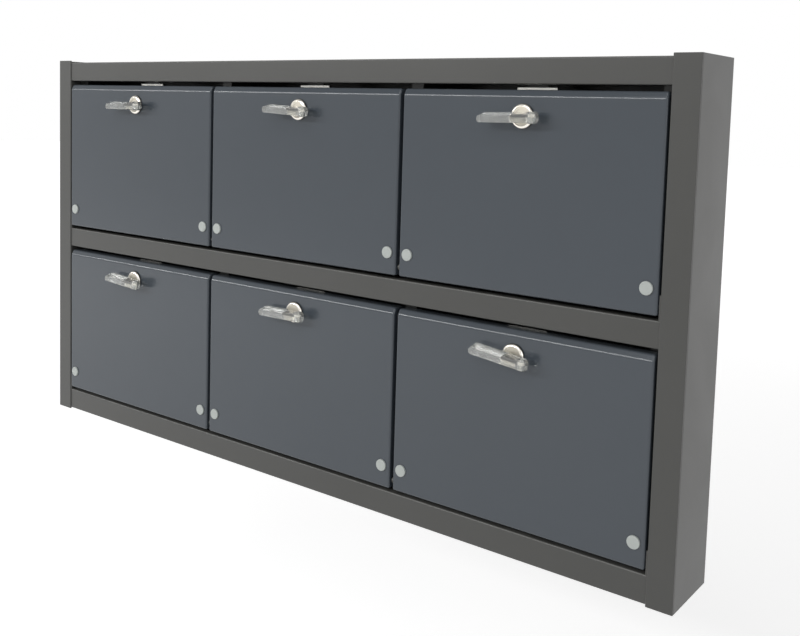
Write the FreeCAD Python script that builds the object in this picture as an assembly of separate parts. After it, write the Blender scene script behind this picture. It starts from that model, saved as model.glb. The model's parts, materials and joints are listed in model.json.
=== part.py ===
import FreeCAD, Part
import math
import os

# Phone storage locker for a wall: two rows of three drop-down doors, each with a cam lock and key.
# Millimetres. X runs along the front, Y from the front back to the wall, Z up.
# The origin is the middle of the four wall-fixing holes, on the back face.

# Carcass
WIDTH = 800.0
HEIGHT = 431.0
DEPTH = 70.0
SHEET = 1.5
COLUMNS = 3
POST_FACE = 22.5
SIDE_FLANGE = 18.5
SEAM_RADIUS = 1.0
BEND_RADIUS = 1.2
INNER_BEND_RADIUS = 0.4
POST_EDGE_RADIUS = 0.5
RAIL_RECESS = 1.2
RAIL_HEIGHT = 22.0
RAIL_LIP = 18.8
TOP_STEP = 2.2
BASE_STEP = 1.0
OPENING_HEIGHT = 180.0
STOP_FLANGE = 12.0
STOP_GAP = 0.6
STOP_START = 26.0
TONGUE_RADIUS = 3.0
PIVOT_PLATE = 1.1
PIVOT_PLATE_HEIGHT = 20.0
PIVOT_PLATE_FRONT = 1.0

# Wall fixing
WALL_HOLE_SPAN_X = 600.0
WALL_HOLE_SPAN_Z = 220.0
WALL_HOLE_RADIUS = 3.5

# Doors
DOOR_GAP = 3.8
DOOR_SILL_GAP = 3.7
DOOR_HEIGHT = 171.6
DOOR_THICKNESS = 16.0
DOOR_PROUD = 0.5
DOOR_BEVEL_HEIGHT = 5.2
DOOR_BEVEL_DEPTH = 2.8
DOOR_BEVEL_RADIUS = 5.0
DOOR_TOP_RADIUS = 2.5
DOOR_EDGE_RADIUS = 2.0

# Pivots
PIVOT_SETBACK = 5.5
PIVOT_RISE = 7.5
PIN_RADIUS = 1.5
PIN_REACH = 10.0
PIN_HEAD_RADIUS = 3.0
PIN_HEAD = 1.2
PIN_RUNNING_GAP = 0.05
PIN_HOLE_GAP = 0.4
PIN_END_GAP = 1.0
BLOCK_WIDTH = 17.0
BLOCK_FRONT = 2.6
BLOCK_FOOT = 2.0
BLOCK_HEIGHT = 27.0
BLOCK_COVER = 3.0
POCKET_GAP = 0.2
BOSS_RADIUS = 5.5
BOSS_GAP = 0.05
BOSS_INSET = 9.5
BOSS_RISE = 20.8
BOSS_PROUD = 1.6
BOSS_EDGE = 0.6

# Lock
LOCK_DROP = 21.9
LOCK_COLLAR_RADIUS = 10.7
LOCK_COLLAR = 3.2
LOCK_RIM = 2.7
LOCK_DISH = 0.3
LOCK_BARREL_RADIUS = 9.5
LOCK_BARREL = 26.8
LOCK_HOLE_GAP = 0.1
NUT_FLATS = 24.0
NUT_THICKNESS = 3.5
PLUG_RADIUS = 6.0
PLUG_RUNNING_GAP = 0.05
PLUG_RECESS = 0.3
KEYWAY_WIDTH = 8.6
KEYWAY_HEIGHT = 2.7
KEYWAY_DEPTH = 17.0
CAM_GAP = 0.2
CAM_THICKNESS = 2.2
CAM_HUB_RADIUS = 9.0
CAM_WIDTH = 14.0
CAM_LENGTH = 30.0
CAM_TIP_RADIUS = 4.0
CAM_SQUARE = 7.0
STUD_RADIUS = 2.5
STUD_END = 0.8
CAM_NUT_FLATS = 9.0
CAM_NUT_THICKNESS = 3.2

# Keeper for the cam
KEEPER_SHEET = 2.2
KEEPER_WIDTH = 38.0
KEEPER_LEG_WIDTH = 20.0
KEEPER_FRONT = 22.0
KEEPER_REACH = 3.8
KEEPER_HANG = 2.3
KEEPER_FOOT = 18.0
RIVET_RADIUS = 2.0
RIVET_HEAD_RADIUS = 3.2
RIVET_HEAD = 1.2
RIVET_SPACING = 12.0
RIVET_INSET = 6.0

# Key
BLADE_WIDTH = 8.0
BLADE_THICKNESS = 2.2
BLADE_DEPTH = 15.0
BLADE_TIP = 3.0
BLADE_NOTCHES = 4
BLADE_NOTCH_PITCH = 3.4
BLADE_NOTCH_START = 2.0
BLADE_NOTCH_DEPTH = 1.3
ROOT_HALF = 3.4
BOW_LEFT = 36.0
BOW_RIGHT = 20.0
BOW_DROP = 1.3
HEAD_RADIUS = 5.6
HEAD_HALF = 5.0
HEAD_EDGE = 3.0
HEAD_FORWARD = 0.6
BOW_BACK = 5.4
BOW_DEPTH = 10.0
BOW_REAR_HALF = 4.3
BOW_ARM_RISE = 1.8
BOW_HEAD_RISE = 3.3
BOW_SHOULDER = 2.0
BOW_END_RADIUS = 2.7
BOW_EDGE = 0.6
BOW_HOLE_RADIUS = 2.2
BOW_NECK_WIDTH = 11.0
BOW_NECK_HEIGHT = 6.4
BOW_NECK = 1.0

# Degrees that each key is turned in its lock at rest, clockwise seen from the front, doors 1 to 6
KEY_TURNS = (0.0, 3.0, -1.0, 4.0, -0.5, 6.5)

# How far a cut runs past a face, and how near two places or directions count as the same
OVERCUT = 1.0
TINY = 1e-6
NEARLY_ONE = 0.999

# Levels and lines worked out from the sizes above
FRONT = -DEPTH
RAIL_FRONT = FRONT + RAIL_RECESS
RAIL_BACK = RAIL_FRONT + SHEET
LIP_BACK = RAIL_FRONT + RAIL_LIP
POST_INNER = WIDTH / 2 - POST_FACE
SIDE_INNER = WIDTH / 2 - SHEET
PANEL_BACK = -SHEET
TOP = HEIGHT / 2
BASE = -HEIGHT / 2
UPPER_TOP = TOP - TOP_STEP - RAIL_HEIGHT
UPPER_SILL = UPPER_TOP - OPENING_HEIGHT
LOWER_TOP = UPPER_SILL - RAIL_HEIGHT
LOWER_SILL = LOWER_TOP - OPENING_HEIGHT
SILLS = (UPPER_SILL, LOWER_SILL)
COLUMN_PITCH = 2 * POST_INNER / COLUMNS
DIVIDER_LINES = (-COLUMN_PITCH / 2, COLUMN_PITCH / 2)
DOOR_WIDTH = COLUMN_PITCH - DOOR_GAP
DOOR_FACE = FRONT - DOOR_PROUD
DOOR_BACK = DOOR_FACE + DOOR_THICKNESS
STOP_FACE = DOOR_BACK + STOP_GAP
PIVOT_Y = DOOR_FACE + PIVOT_SETBACK
BARREL_END = DOOR_FACE + LOCK_BARREL
CAM_FRONT = BARREL_END + CAM_GAP
CAM_BACK = CAM_FRONT + CAM_THICKNESS
KEEPER_LIP_FRONT = FRONT + KEEPER_FRONT
KEEPER_BACK = KEEPER_LIP_FRONT + KEEPER_REACH
BOW_BACK_FACE = DOOR_FACE - BOW_BACK
BOW_FRONT_FACE = BOW_BACK_FACE - BOW_DEPTH
BOW_MIDDLE = BOW_BACK_FACE - BOW_DEPTH / 2
BOW_HEAD = BOW_RIGHT - HEAD_RADIUS
HEAD_MIDDLE = BOW_MIDDLE - HEAD_FORWARD


def block(x_range, y_range, z_range):
    """A box between two values on each axis."""
    corner = FreeCAD.Vector(x_range[0], y_range[0], z_range[0])
    sizes = [high - low for low, high in (x_range, y_range, z_range)]
    return Part.makeBox(*sizes, corner)


def rod_x(radius, x_range, y, z):
    """A round bar along X."""
    return Part.makeCylinder(radius, x_range[1] - x_range[0],
                             FreeCAD.Vector(x_range[0], y, z), FreeCAD.Vector(1, 0, 0))


def rod_y(radius, y_range, x, z):
    """A round bar along Y."""
    return Part.makeCylinder(radius, y_range[1] - y_range[0],
                             FreeCAD.Vector(x, y_range[0], z), FreeCAD.Vector(0, 1, 0))


def rod_z(radius, z_range, x, y):
    """A round bar along Z."""
    return Part.makeCylinder(radius, z_range[1] - z_range[0], FreeCAD.Vector(x, y, z_range[0]))


def extrude(points, direction):
    """The solid that a closed flat outline sweeps along a direction."""
    face = Part.Face(Part.makePolygon(points + points[:1]))
    return face.extrude(direction)


def prism_x(outline, x_range):
    """An outline of (y, z) points carried along X."""
    points = [FreeCAD.Vector(x_range[0], y, z) for y, z in outline]
    return extrude(points, FreeCAD.Vector(x_range[1] - x_range[0], 0, 0))


def prism_z(outline, z_range):
    """An outline of (x, y) points carried along Z."""
    points = [FreeCAD.Vector(x, y, z_range[0]) for x, y in outline]
    return extrude(points, FreeCAD.Vector(0, 0, z_range[1] - z_range[0]))


def hexagon_y(flats, y_range, x, z):
    """A hexagonal bar along Y."""
    corner = flats / math.sqrt(3)
    points = []
    for side in range(6):
        angle = math.radians(60 * side)
        points.append(FreeCAD.Vector(x + corner * math.cos(angle), y_range[0], z + corner * math.sin(angle)))
    return extrude(points, FreeCAD.Vector(0, y_range[1] - y_range[0], 0))


def mirrored(shape):
    """The same piece on the other side of the middle plane."""
    return shape.mirror(FreeCAD.Vector(0, 0, 0), FreeCAD.Vector(1, 0, 0))


def rounded(shape, radius, chosen):
    """The shape with the edges that a test picks rounded off."""
    return shape.makeFillet(radius, [edge for edge in shape.Edges if chosen(edge)])


def lies_on_x(edge, x):
    """Whether an edge lies wholly in the plane at x."""
    return all(abs(vertex.X - x) < TINY for vertex in edge.Vertexes)


def lies_on_y(edge, y):
    """Whether an edge lies wholly in the plane at y."""
    return all(abs(vertex.Y - y) < TINY for vertex in edge.Vertexes)


def lies_on_z(edge, z):
    """Whether an edge lies wholly in the plane at z."""
    return all(abs(vertex.Z - z) < TINY for vertex in edge.Vertexes)


def stands_at(edge, x, y):
    """Whether an edge stands upright at a place in plan."""
    return all(abs(vertex.X - x) < TINY and abs(vertex.Y - y) < TINY for vertex in edge.Vertexes)


def goes_back(edge):
    """Whether the two ends of an edge differ in Y."""
    return abs(edge.Vertexes[0].Y - edge.Vertexes[-1].Y) > TINY


def runs_along_x(edge):
    """Whether an edge is a straight line along X."""
    return isinstance(edge.Curve, Part.Line) and abs(edge.tangentAt(edge.FirstParameter).x) > NEARLY_ONE


def runs_along_y(edge):
    """Whether an edge is a straight line along Y."""
    return isinstance(edge.Curve, Part.Line) and abs(edge.tangentAt(edge.FirstParameter).y) > NEARLY_ONE


def save(shapes, node):
    """Write one piece, or a group of like pieces, as one node."""
    solids = []
    for shape in shapes:
        solids.extend(shape.removeSplitter().Solids)
    for solid in solids:
        if not solid.isValid():
            raise ValueError(node + " holds a solid that isn't sound")
    whole = solids[0] if len(solids) == 1 else Part.makeCompound(solids)
    whole.exportStep("parts/" + node + ".step")


def side_post():
    """Right front post: a full-height face, with a return, a pivot plate and a door stop at each opening."""
    post = block((POST_INNER, WIDTH / 2), (FRONT, FRONT + SHEET), (BASE, TOP))
    post = rounded(post, BEND_RADIUS, lambda edge: stands_at(edge, POST_INNER, FRONT))
    post = rounded(post, POST_EDGE_RADIUS, lambda edge: stands_at(edge, WIDTH / 2, FRONT))
    for sill in SILLS:
        head = sill + OPENING_HEIGHT
        jamb = block((POST_INNER, POST_INNER + SHEET), (FRONT + SHEET, STOP_FACE + SHEET), (sill, head))
        stop = block((POST_INNER - STOP_FLANGE, POST_INNER), (STOP_FACE, STOP_FACE + SHEET),
                     (sill + STOP_START, head))
        plate_face = POST_INNER - PIVOT_PLATE
        plate = block((plate_face, POST_INNER), (FRONT + PIVOT_PLATE_FRONT, STOP_FACE),
                      (sill, sill + PIVOT_PLATE_HEIGHT))
        pin_hole = rod_x(PIN_RADIUS, (plate_face, POST_INNER + SHEET), PIVOT_Y, pivot_level(sill))
        post = post.fuse(jamb).fuse(stop).fuse(plate).cut(pin_hole)
    return post


def side_panel():
    """Right side panel, with the flange that it takes the post on."""
    front = FRONT + SHEET
    outline = [(WIDTH / 2, front), (WIDTH / 2, PANEL_BACK), (SIDE_INNER, PANEL_BACK),
               (SIDE_INNER, front + SHEET), (WIDTH / 2 - SIDE_FLANGE, front + SHEET),
               (WIDTH / 2 - SIDE_FLANGE, front)]
    panel = prism_z(outline, (BASE, TOP))
    return rounded(panel, SEAM_RADIUS, lambda edge: stands_at(edge, WIDTH / 2, front))


def rail_panel(plate_top, rail_foot):
    """A full-width panel whose front edge is folded down into a rail with a lip behind it."""
    outline = [(RAIL_FRONT, plate_top), (PANEL_BACK, plate_top), (PANEL_BACK, plate_top - SHEET),
               (RAIL_BACK, plate_top - SHEET), (RAIL_BACK, rail_foot + SHEET),
               (LIP_BACK, rail_foot + SHEET), (LIP_BACK, rail_foot), (RAIL_FRONT, rail_foot)]
    panel = prism_x(outline, (-SIDE_INNER, SIDE_INNER))
    panel = rounded(panel, BEND_RADIUS, lambda edge: lies_on_y(edge, RAIL_FRONT) and runs_along_x(edge))
    inner_levels = (plate_top - SHEET, rail_foot + SHEET)
    panel = rounded(panel, INNER_BEND_RADIUS, lambda edge: lies_on_y(edge, RAIL_BACK) and runs_along_x(edge)
                    and min(abs(edge.Vertexes[0].Z - level) for level in inner_levels) < TINY)
    notch = block((POST_INNER, WIDTH / 2), (FRONT, FRONT + 2 * SHEET), (BASE, TOP))
    return panel.cut(notch).cut(mirrored(notch))


def back_panel():
    """Back panel with the four wall-fixing holes."""
    panel = block((-WIDTH / 2, WIDTH / 2), (PANEL_BACK, 0.0), (BASE, TOP))
    for x in (-WALL_HOLE_SPAN_X / 2, WALL_HOLE_SPAN_X / 2):
        for z in (-WALL_HOLE_SPAN_Z / 2, WALL_HOLE_SPAN_Z / 2):
            panel = panel.cut(rod_y(WALL_HOLE_RADIUS, (PANEL_BACK, 0.0), x, z))
    return panel


def divider(line, sill):
    """Divider between two compartments: a tongue for the pivot pin below, a door stop above."""
    head = sill + OPENING_HEIGHT
    ceiling = head + RAIL_HEIGHT - SHEET
    pivot = pivot_level(sill)
    span = (line - SHEET / 2, line + SHEET / 2)
    outline = [(STOP_FACE, sill), (PIVOT_Y, pivot - TONGUE_RADIUS), (PIVOT_Y, pivot + TONGUE_RADIUS),
               (STOP_FACE, sill + STOP_START), (STOP_FACE, head), (LIP_BACK, head), (LIP_BACK, ceiling),
               (PANEL_BACK, ceiling), (PANEL_BACK, sill)]
    web = prism_x(outline, span).fuse(rod_x(TONGUE_RADIUS, span, PIVOT_Y, pivot))
    stop = block((line, line + STOP_FLANGE), (STOP_FACE, STOP_FACE + SHEET), (sill + STOP_START, head))
    return web.fuse(stop).cut(rod_x(PIN_RADIUS, span, PIVOT_Y, pivot))


def pivot_level(sill):
    """Height of the pivot axis of the doors that stand above a sill."""
    return sill + DOOR_SILL_GAP + PIVOT_RISE


def pivot_pins():
    """Pins that the doors turn on: through each divider's tongue, and headed through each post return."""
    reach = DOOR_GAP / 2 + PIN_REACH
    pins = []
    for sill in SILLS:
        level = pivot_level(sill)
        for line in DIVIDER_LINES:
            pins.append(rod_x(PIN_RADIUS, (line - reach, line + reach), PIVOT_Y, level))
        shank_end = POST_INNER + SHEET
        shank = rod_x(PIN_RADIUS, (POST_INNER - reach, shank_end), PIVOT_Y, level)
        head = rod_x(PIN_HEAD_RADIUS, (shank_end, shank_end + PIN_HEAD), PIVOT_Y, level)
        pins.append(shank.fuse(head))
        pins.append(mirrored(shank.fuse(head)))
    return pins


def rivet_places(line):
    """Places along X of the two rivets of the keeper on a lock's line."""
    return (line - RIVET_SPACING / 2, line + RIVET_SPACING / 2)


def keeper(line, head):
    """Keeper: a foot on the rail's lip, a leg hanging behind it and a forward lip over the door."""
    lip_top = head + SHEET
    lip_level = head - KEEPER_HANG
    leg_half = KEEPER_LEG_WIDTH / 2
    foot = block((line - leg_half, line + leg_half), (KEEPER_BACK - KEEPER_FOOT, KEEPER_BACK),
                 (lip_top, lip_top + KEEPER_SHEET))
    leg = block((line - leg_half, line + leg_half), (KEEPER_BACK - KEEPER_SHEET, KEEPER_BACK),
                (lip_level - KEEPER_SHEET, lip_top))
    lip = block((line - KEEPER_WIDTH / 2, line + KEEPER_WIDTH / 2), (KEEPER_LIP_FRONT, KEEPER_BACK),
                (lip_level - KEEPER_SHEET, lip_level))
    plate = foot.fuse(leg).fuse(lip)
    for x in rivet_places(line):
        plate = plate.cut(rivet(x, head))
    return plate


def rivet(x, head):
    """Rivet through a rail's lip and the foot of a keeper, flush below the lip."""
    y = LIP_BACK - RIVET_INSET
    top = head + SHEET + KEEPER_SHEET
    shank = rod_z(RIVET_RADIUS, (head, top), x, y)
    upper = rod_z(RIVET_HEAD_RADIUS, (top, top + RIVET_HEAD), x, y)
    lower = Part.makeCone(RIVET_HEAD_RADIUS, RIVET_RADIUS, RIVET_HEAD, FreeCAD.Vector(x, y, head))
    return shank.fuse(upper).fuse(lower)


def door_panel(line, sill):
    """Door board: a bevel along the top, rounded edges, a lock hole, pockets and holes for the pivots."""
    bottom = sill + DOOR_SILL_GAP
    top = bottom + DOOR_HEIGHT
    half = DOOR_WIDTH / 2
    bevel_foot = top - DOOR_BEVEL_HEIGHT
    bevel_back = DOOR_FACE + DOOR_BEVEL_DEPTH
    outline = [(DOOR_FACE, bottom), (DOOR_FACE, bevel_foot), (bevel_back, top), (DOOR_BACK, top),
               (DOOR_BACK, bottom)]
    board = prism_x(outline, (line - half, line + half))
    board = rounded(board, DOOR_BEVEL_RADIUS, lambda edge: lies_on_z(edge, bevel_foot))
    board = rounded(board, DOOR_TOP_RADIUS, lambda edge: lies_on_y(edge, bevel_back))
    board = rounded(board, DOOR_EDGE_RADIUS,
                    lambda edge: not runs_along_x(edge) and not lies_on_y(edge, DOOR_BACK)
                    or lies_on_y(edge, DOOR_FACE) and lies_on_z(edge, bottom))
    lock_hole = rod_y(LOCK_BARREL_RADIUS + LOCK_HOLE_GAP, (DOOR_FACE, DOOR_BACK), line, lock_level(sill))
    board = board.cut(lock_hole)
    for side in (-1, 1):
        edge = line + side * half
        inner = edge - side * (BLOCK_WIDTH + POCKET_GAP)
        cover = edge - side * (BLOCK_COVER - POCKET_GAP)
        pocket = block(sorted((cover, inner)), (DOOR_FACE + BLOCK_FRONT, DOOR_BACK + OVERCUT),
                       (bottom + BLOCK_FOOT - POCKET_GAP, bottom + BLOCK_FOOT + BLOCK_HEIGHT + POCKET_GAP))
        boss_hole = rod_y(BOSS_RADIUS + BOSS_GAP, (DOOR_FACE - OVERCUT, DOOR_BACK), edge - side * BOSS_INSET,
                          bottom + BOSS_RISE)
        pin_hole = rod_x(PIN_RADIUS + PIN_HOLE_GAP, sorted((edge + side * OVERCUT, inner)), PIVOT_Y,
                         pivot_level(sill))
        board = board.cut(pocket).cut(boss_hole).cut(pin_hole)
    return board


def pivot_block(line, sill, side):
    """Nylon block let into a lower corner: it turns on the pin, and its round boss shows on the face."""
    bottom = sill + DOOR_SILL_GAP
    edge = line + side * DOOR_WIDTH / 2
    outer = edge - side * BLOCK_COVER
    inner = edge - side * BLOCK_WIDTH
    body = block(sorted((outer, inner)), (DOOR_FACE + BLOCK_FRONT, DOOR_BACK),
                 (bottom + BLOCK_FOOT, bottom + BLOCK_FOOT + BLOCK_HEIGHT))
    boss_face = DOOR_FACE - BOSS_PROUD
    boss = rod_y(BOSS_RADIUS, (boss_face, DOOR_BACK), edge - side * BOSS_INSET, bottom + BOSS_RISE)
    boss = rounded(boss, BOSS_EDGE, lambda rim: lies_on_y(rim, boss_face))
    reach = edge - side * (PIN_REACH + PIN_END_GAP)
    pin_hole = rod_x(PIN_RADIUS + PIN_RUNNING_GAP, sorted((outer, reach)), PIVOT_Y, pivot_level(sill))
    return body.fuse(boss).cut(pin_hole)


def lock_level(sill):
    """Height of the lock axis of the doors that stand above a sill."""
    return sill + DOOR_SILL_GAP + DOOR_HEIGHT - LOCK_DROP


def lock_body(line, sill):
    """Lock housing: a collar with a rounded rim round its flat face, and a barrel through the board."""
    level = lock_level(sill)
    bore = PLUG_RADIUS + PLUG_RUNNING_GAP
    face = DOOR_FACE - LOCK_COLLAR
    rim = LOCK_COLLAR_RADIUS - LOCK_RIM
    shoulder = LOCK_RIM * (1 - math.sqrt(0.5))

    def at(radius, y):
        """A point of the half section."""
        return FreeCAD.Vector(line + radius, y, level)

    round_edge = Part.Arc(at(rim, face), at(LOCK_COLLAR_RADIUS - shoulder, face + shoulder),
                          at(LOCK_COLLAR_RADIUS, face + LOCK_RIM)).toShape()
    path = [at(LOCK_COLLAR_RADIUS, face + LOCK_RIM), at(LOCK_COLLAR_RADIUS, DOOR_FACE),
            at(LOCK_BARREL_RADIUS, DOOR_FACE), at(LOCK_BARREL_RADIUS, BARREL_END), at(bore, BARREL_END),
            at(bore, face + LOCK_DISH), at(rim - LOCK_DISH, face + LOCK_DISH), at(rim, face)]
    section = Part.Face(Part.Wire([round_edge] + Part.makePolygon(path).Edges))
    return section.revolve(FreeCAD.Vector(line, 0, level), FreeCAD.Vector(0, 1, 0), 360)


def lock_nut(line, sill):
    """Hexagon nut that clamps the housing behind the board."""
    level = lock_level(sill)
    span = (DOOR_BACK, DOOR_BACK + NUT_THICKNESS)
    return hexagon_y(NUT_FLATS, span, line, level).cut(rod_y(LOCK_BARREL_RADIUS, span, line, level))


def turned(shape, line, sill, turn):
    """A piece of the lock turned about the lock axis, clockwise seen from the front."""
    shape = shape.copy()
    shape.rotate(FreeCAD.Vector(line, 0, lock_level(sill)), FreeCAD.Vector(0, 1, 0), turn)
    return shape


def lock_plug(line, sill):
    """Lock plug: keyway in front, a square and a stud for the cam behind."""
    level = lock_level(sill)
    front = DOOR_FACE - LOCK_COLLAR + LOCK_DISH + PLUG_RECESS
    plug = rod_y(PLUG_RADIUS, (front, CAM_FRONT), line, level)
    keyway = block((line - KEYWAY_WIDTH / 2, line + KEYWAY_WIDTH / 2), (front, DOOR_FACE + KEYWAY_DEPTH),
                   (level - KEYWAY_HEIGHT / 2, level + KEYWAY_HEIGHT / 2))
    square = block((line - CAM_SQUARE / 2, line + CAM_SQUARE / 2), (CAM_FRONT, CAM_BACK),
                   (level - CAM_SQUARE / 2, level + CAM_SQUARE / 2))
    stud = rod_y(STUD_RADIUS, (CAM_BACK, CAM_BACK + CAM_NUT_THICKNESS + STUD_END), line, level)
    return plug.cut(keyway).fuse(square).fuse(stud)


def lock_cam(line, sill):
    """Cam plate, pointing along X when the lock is open, and the nut that holds it on the plug."""
    level = lock_level(sill)
    span = (CAM_FRONT, CAM_BACK)
    arm = block((line, line + CAM_LENGTH), span, (level - CAM_WIDTH / 2, level + CAM_WIDTH / 2))
    tip = line + CAM_LENGTH
    arm = rounded(arm, CAM_TIP_RADIUS,
                  lambda edge: runs_along_y(edge) and abs(edge.Vertexes[0].X - tip) < TINY)
    square = block((line - CAM_SQUARE / 2, line + CAM_SQUARE / 2), span,
                   (level - CAM_SQUARE / 2, level + CAM_SQUARE / 2))
    plate = arm.fuse(rod_y(CAM_HUB_RADIUS, span, line, level)).cut(square)
    nut_span = (CAM_BACK, CAM_BACK + CAM_NUT_THICKNESS)
    nut = hexagon_y(CAM_NUT_FLATS, nut_span, line, level).cut(rod_y(STUD_RADIUS, nut_span, line, level))
    return [plate, nut]


def ring_hole(line, sill):
    """Hole for a key ring, upright through the round end of the bow and the root inside it."""
    level = lock_level(sill) - BOW_DROP
    return rod_z(BOW_HOLE_RADIUS, (level - HEAD_HALF, level + HEAD_HALF), line + BOW_HEAD, HEAD_MIDDLE)


def key_blade(line, sill):
    """Flat key blade, notched along one edge, with a pierced root that the bow is moulded over."""
    level = lock_level(sill)
    half = BLADE_WIDTH / 2
    end = DOOR_FACE + BLADE_DEPTH
    thickness = (level - BLADE_THICKNESS / 2, level + BLADE_THICKNESS / 2)
    outline = [(line - half, BOW_MIDDLE), (line - half, end - BLADE_TIP), (line, end),
               (line + half, end - BLADE_TIP), (line + half, BOW_MIDDLE)]
    blade = prism_z(outline, thickness)
    for notch in range(BLADE_NOTCHES):
        middle = end - BLADE_TIP - BLADE_NOTCH_START - notch * BLADE_NOTCH_PITCH
        cut = prism_z([(line + half, middle - BLADE_NOTCH_DEPTH), (line + half - BLADE_NOTCH_DEPTH, middle),
                       (line + half, middle + BLADE_NOTCH_DEPTH)], (level - BLADE_WIDTH, level + BLADE_WIDTH))
        blade = blade.cut(cut)
    root = block((line - half, line + BOW_HEAD), (BOW_MIDDLE - ROOT_HALF, BOW_MIDDLE + ROOT_HALF), thickness)
    eye = rod_z(ROOT_HALF, thickness, line + BOW_HEAD, HEAD_MIDDLE)
    return blade.fuse(root).fuse(eye).cut(ring_hole(line, sill))


def slope(x_range, level, front_rise):
    """The wedge that slopes the bow's upper side down from the rear to a lower edge in front."""
    rear = level + BOW_REAR_HALF
    outline = [(BOW_FRONT_FACE, level + front_rise), (BOW_FRONT_FACE, rear), (BOW_BACK_FACE, rear)]
    return prism_x(outline, x_range)


def key_bow(line, sill):
    """Clear key bow: a bar hung a little below the lock axis, sloped on top, with a thick pierced head."""
    level = lock_level(sill) - BOW_DROP
    left = line - BOW_LEFT
    shoulder = line - BOW_SHOULDER
    heights = (level - BOW_REAR_HALF, level + BOW_REAR_HALF)
    right = line + BOW_HEAD
    bar = block((left, right), (BOW_FRONT_FACE, BOW_BACK_FACE), heights)
    bar = bar.cut(slope((left, shoulder), level, BOW_ARM_RISE))
    bar = bar.cut(slope((shoulder, right), level, BOW_HEAD_RISE))
    bar = rounded(bar, BOW_END_RADIUS, lambda edge: lies_on_x(edge, left) and goes_back(edge))
    bar = rounded(bar, BOW_EDGE, lambda edge: lies_on_y(edge, BOW_FRONT_FACE) and
                  not lies_on_x(edge, shoulder) and not lies_on_x(edge, right))
    neck = block((line - BOW_NECK_WIDTH / 2, line + BOW_NECK_WIDTH / 2),
                 (BOW_BACK_FACE - BOW_EDGE, BOW_BACK_FACE + BOW_NECK),
                 (level - BOW_NECK_HEIGHT / 2, level + BOW_NECK_HEIGHT / 2))
    head = rod_z(HEAD_RADIUS, (level - HEAD_HALF, level + HEAD_HALF), line + BOW_HEAD, HEAD_MIDDLE)
    head = rounded(head, HEAD_EDGE, lambda edge: isinstance(edge.Curve, Part.Circle))
    return bar.fuse(neck).fuse(head).cut(ring_hole(line, sill)).cut(key_blade(line, sill))


def build_carcass():
    """Write the pieces that stay on the wall."""
    save([mirrored(side_post())], "left_post")
    save([side_post()], "right_post")
    save([mirrored(side_panel())], "left_side_panel")
    save([side_panel()], "right_side_panel")
    top = rail_panel(UPPER_TOP + RAIL_HEIGHT, UPPER_TOP)
    shelf = rail_panel(UPPER_SILL, LOWER_TOP)
    keepers = []
    rivets = []
    for sill in SILLS:
        head = sill + OPENING_HEIGHT
        for line in door_lines():
            keepers.append(keeper(line, head))
            rivets.extend(rivet(x, head) for x in rivet_places(line))
    for fastener in rivets:
        top = top.cut(fastener)
        shelf = shelf.cut(fastener)
    save([top], "top_panel")
    save([shelf], "middle_shelf")
    save([rail_panel(LOWER_SILL, BASE + BASE_STEP)], "bottom_panel")
    save([back_panel()], "back_panel")
    save([divider(line, sill) for sill in SILLS for line in DIVIDER_LINES], "dividers")
    save(keepers, "lock_keepers")
    save(rivets, "keeper_rivets")
    save(pivot_pins(), "pivot_pins")


def door_lines():
    """Middle line of each door along X, from left to right."""
    return [(column - (COLUMNS - 1) / 2) * COLUMN_PITCH for column in range(COLUMNS)]


def build_door(number, line, sill, turn):
    """Write the pieces of one door, numbered from the upper left."""
    mark = "_" + str(number)
    save([door_panel(line, sill)], "door_panel" + mark)
    save([pivot_block(line, sill, side) for side in (-1, 1)], "pivot_blocks" + mark)
    save([lock_body(line, sill)], "lock_body" + mark)
    save([lock_nut(line, sill)], "lock_nut" + mark)
    save([turned(lock_plug(line, sill), line, sill, turn)], "lock_plug" + mark)
    save([turned(piece, line, sill, turn) for piece in lock_cam(line, sill)], "lock_cam" + mark)
    save([turned(key_blade(line, sill), line, sill, turn)], "key_blade" + mark)
    save([turned(key_bow(line, sill), line, sill, turn)], "key_bow" + mark)


def main():
    """Write every node of the locker."""
    os.makedirs("parts", exist_ok=True)
    build_carcass()
    places = [(line, sill) for sill in SILLS for line in door_lines()]
    for number, (line, sill) in enumerate(places, start=1):
        build_door(number, line, sill, KEY_TURNS[number - 1])


main()
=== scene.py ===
"""Looks of a wall-hung phone storage locker: two rows of slate doors in a grey steel carcass."""
import json
import logging
import math
from dataclasses import dataclass
from enum import Enum
from typing import ClassVar, NamedTuple, Sequence

import bpy
from mathutils import Matrix, Vector


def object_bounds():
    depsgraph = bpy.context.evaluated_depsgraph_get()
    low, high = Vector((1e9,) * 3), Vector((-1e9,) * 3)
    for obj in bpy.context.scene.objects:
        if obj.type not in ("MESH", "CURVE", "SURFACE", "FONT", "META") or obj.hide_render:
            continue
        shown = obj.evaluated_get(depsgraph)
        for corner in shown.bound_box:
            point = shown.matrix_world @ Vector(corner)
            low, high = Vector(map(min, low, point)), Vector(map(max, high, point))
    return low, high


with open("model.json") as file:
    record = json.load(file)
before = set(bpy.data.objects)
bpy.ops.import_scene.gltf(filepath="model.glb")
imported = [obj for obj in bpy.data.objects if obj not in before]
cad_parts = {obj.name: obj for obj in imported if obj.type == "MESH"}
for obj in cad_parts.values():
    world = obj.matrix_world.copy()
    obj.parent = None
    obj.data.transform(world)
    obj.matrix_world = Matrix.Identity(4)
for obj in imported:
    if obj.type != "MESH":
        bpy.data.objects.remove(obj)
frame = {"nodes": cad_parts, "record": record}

for start_name in ("Cube", "Light", "Camera"):
    if start_name in bpy.data.objects:
        bpy.data.objects.remove(bpy.data.objects[start_name])
CAD_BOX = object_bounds()

LOG = logging.getLogger("locker")
DOOR_COUNT = 6
MM = 0.001
NOISE_MIDDLE = 0.5

# Places of the Mix node's colour sockets, which share their names with its other sockets
MIX_SHARE = 0
MIX_FIRST = 6
MIX_SECOND = 7
MIX_RESULT = 2

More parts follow.
